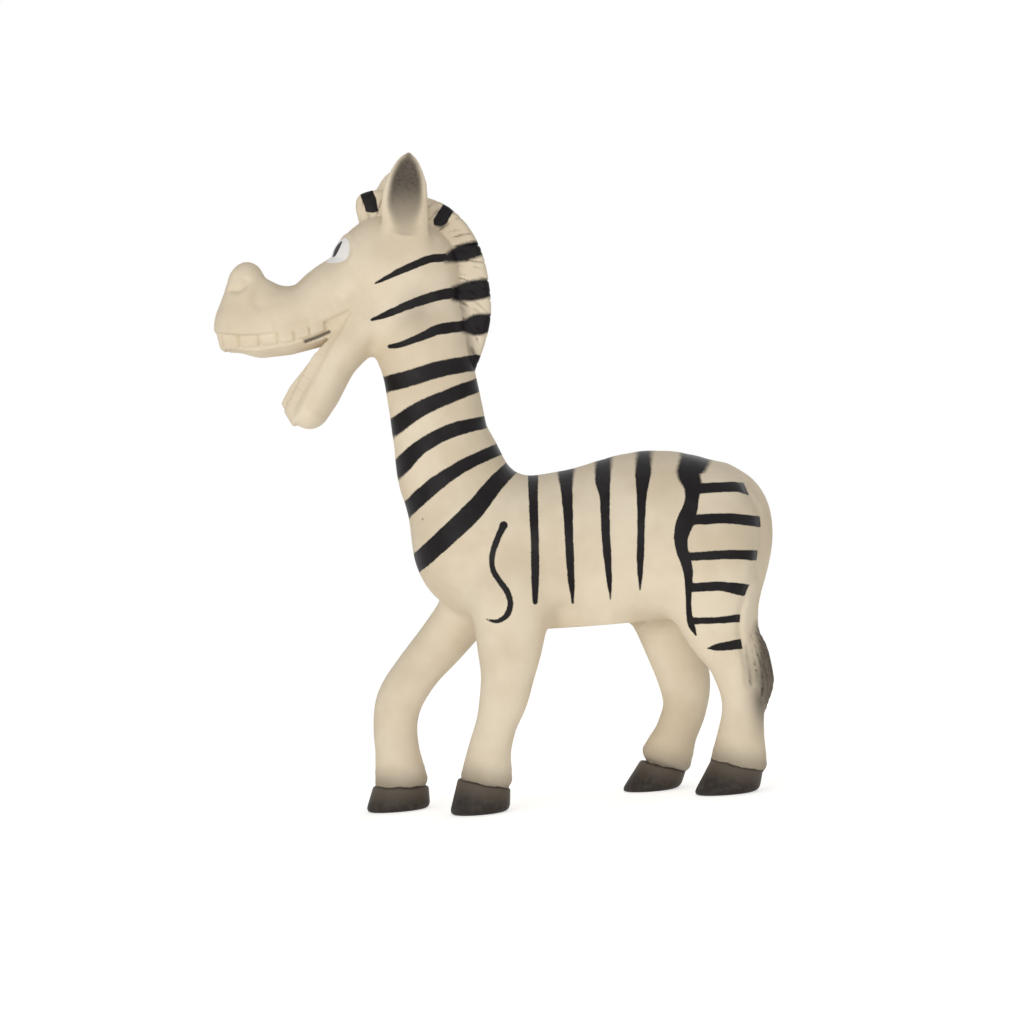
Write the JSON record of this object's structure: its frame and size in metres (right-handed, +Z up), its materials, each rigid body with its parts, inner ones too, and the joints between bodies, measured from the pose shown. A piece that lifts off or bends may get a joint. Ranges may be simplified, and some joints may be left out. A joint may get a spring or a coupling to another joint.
{
  "type": "toy wild animal figure",
  "caption": "Soft hollow rubber zebra standing on four hooves, head up and mouth open, with a squeaker set in its belly.",
  "frame": {"origin": "on the ground plane that the four hooves stand on, under the middle of the overall bounding box", "axes": "+Z up, the zebra faces -X, its left side is -Y"},
  "size_m": [0.1648, 0.0462, 0.1982],
  "materials": {
    "latex": "matte cream natural rubber with hand-brushed black stripes, dark hooves and faint pinholes",
    "polythene": "milky moulded polythene",
    "reed_brass": "thin rolled brass"
  },
  "bodies": {
    "root": {"latex_skin": "latex", "squeaker_cup": "polythene", "squeaker_cap": "polythene", "reed_plate": "polythene", "reed_rivet": "reed_brass"},
    "reed": {"reed": "reed_brass"}
  },
  "joints": [
    {"name": "reed_flex", "type": "hinge", "parent": "root", "child": "reed", "pos_m": [0.02322, 0, 0.05735], "axis": [0, -1, 0], "range_deg": [-1.5, 3], "stiffness_Nm_per_rad": 0.02}
  ]
}
